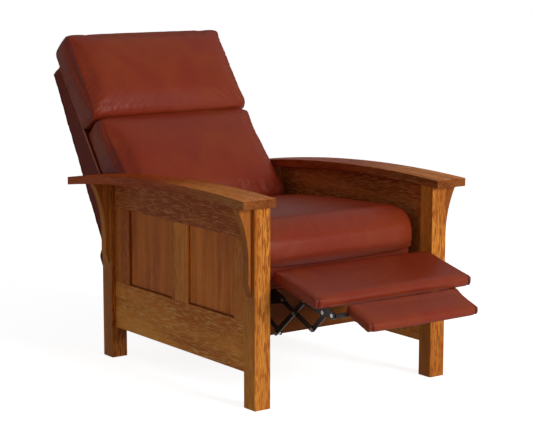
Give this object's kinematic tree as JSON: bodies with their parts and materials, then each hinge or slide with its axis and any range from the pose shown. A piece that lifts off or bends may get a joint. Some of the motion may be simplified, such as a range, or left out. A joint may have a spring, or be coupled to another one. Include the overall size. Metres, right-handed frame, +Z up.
{
  "type": "recliner",
  "caption": "Push-back recliner with oak bow arms, panelled sides and corbels, leather cushions, a tilting back and a folding two-pad footrest",
  "frame": {"origin": "on the floor, in the middle of the footprint of the chair as pictured, half reclined and open", "axes": "+Z up, -Y the front of the chair, +X the sitter's left"},
  "size_m": [0.851, 1.6505, 1.058],
  "materials": {
    "oak": "satin, quarter-sawn",
    "arm_oak": "satin, quarter-sawn",
    "brown_board": "matt stain",
    "frame_wood": "bare",
    "leather": "semi-gloss",
    "dark_leather": "semi-gloss",
    "black_steel": "satin black",
    "bright_steel": "zinc plated",
    "nylon": "natural"
  },
  "bodies": {
    "frame": {"front_leg_left": "oak", "front_leg_right": "oak", "rear_leg_left": "oak", "rear_leg_right": "oak", "bow_arm_left": "arm_oak", "bow_arm_right": "arm_oak", "top_rail_left": "oak", "top_rail_right": "oak", "bottom_rail_left": "oak", "bottom_rail_right": "oak", "front_stile_left": "oak", "front_stile_right": "oak", "centre_stile_left": "oak", "centre_stile_right": "oak", "rear_stile_left": "oak", "rear_stile_right": "oak", "front_panel_left": "oak", "front_panel_right": "oak", "rear_panel_left": "oak", "rear_panel_right": "oak", "front_corbel_left": "oak", "front_corbel_right": "oak", "rear_corbel_left": "oak", "rear_corbel_right": "oak", "base_track_left": "black_steel", "base_track_right": "black_steel", "front_cross_rail": "brown_board", "rear_cross_rail": "oak"},
    "seat": {"seat_side_rail_left": "frame_wood", "seat_side_rail_right": "frame_wood", "seat_plate_left": "black_steel", "seat_plate_right": "black_steel", "seat_front_rail": "dark_leather", "seat_rear_rail": "frame_wood", "seat_springs": "bright_steel", "seat_cushion": "leather", "seat_slides": "nylon", "seat_rivets": "bright_steel"},
    "back": {"back_side_left": "dark_leather", "back_side_right": "dark_leather", "back_rails": "frame_wood", "outer_back": "dark_leather", "back_brackets": "black_steel", "lower_back_cushion": "leather", "head_pillow": "leather"},
    "front_links": {"front_link_left": "black_steel", "front_link_right": "black_steel", "front_link_rivets": "bright_steel"},
    "outer_links": {"outer_link_left": "black_steel", "outer_link_right": "black_steel", "outer_link_rivets": "bright_steel"},
    "inner_links": {"inner_links": "black_steel"},
    "rear_links": {"rear_links": "black_steel"},
    "footrest": {"footrest_bracket_left": "black_steel", "footrest_bracket_right": "black_steel", "footrest_board": "frame_wood", "footrest_pad": "leather", "footrest_rivets": "bright_steel"},
    "flip_footrest": {"flip_carrier": "black_steel", "flip_pad": "leather"}
  },
  "joints": [
    {"name": "seat_glide", "type": "slide", "parent": "frame", "child": "seat", "axis": [0, -1, 0], "range_m": [-0.034, 0.0255]},
    {"name": "back_recline", "type": "hinge", "parent": "seat", "child": "back", "pos_m": [0, 0.28007, 0.42], "axis": [-1, 0, 0], "range_deg": [-16, 12]},
    {"name": "footrest_fold", "type": "hinge", "parent": "seat", "child": "front_links", "pos_m": [0, -0.43343, 0.3106], "axis": [1, 0, 0], "range_deg": [0, 100]},
    {"name": "outer_link_swing", "type": "hinge", "parent": "front_links", "child": "outer_links", "pos_m": [0, -0.49789, 0.28238], "axis": [1, 0, 0], "range_deg": [-127.5, 0]},
    {"name": "footrest_tilt", "type": "hinge", "parent": "outer_links", "child": "footrest", "pos_m": [0, -0.55423, 0.33141], "axis": [1, 0, 0], "range_deg": [0, 103.6]},
    {"name": "flip_swing", "type": "hinge", "parent": "footrest", "child": "flip_footrest", "pos_m": [0, -0.68993, 0.30988], "axis": [1, 0, 0], "range_deg": [0, 173.4]},
    {"name": "inner_link_swing", "type": "hinge", "parent": "front_links", "child": "inner_links", "pos_m": [0, -0.57893, 0.2469], "axis": [1, 0, 0], "range_deg": [-88.2, 0]},
    {"name": "rear_link_swing", "type": "hinge", "parent": "seat", "child": "rear_links", "pos_m": [0, -0.27193, 0.2784], "axis": [1, 0, 0], "range_deg": [0, 32.3]}
  ],
  "couplings": [
    {"joint": "seat_glide", "follows": "back_recline", "m_per_rad": 0.11937},
    {"joint": "outer_link_swing", "follows": "footrest_fold", "ratio": -1.27},
    {"joint": "footrest_tilt", "follows": "footrest_fold", "ratio": 1.031},
    {"joint": "flip_swing", "follows": "footrest_fold", "ratio": 1.729},
    {"joint": "inner_link_swing", "follows": "footrest_fold", "ratio": -0.877},
    {"joint": "rear_link_swing", "follows": "footrest_fold", "ratio": 0.318}
  ]
}
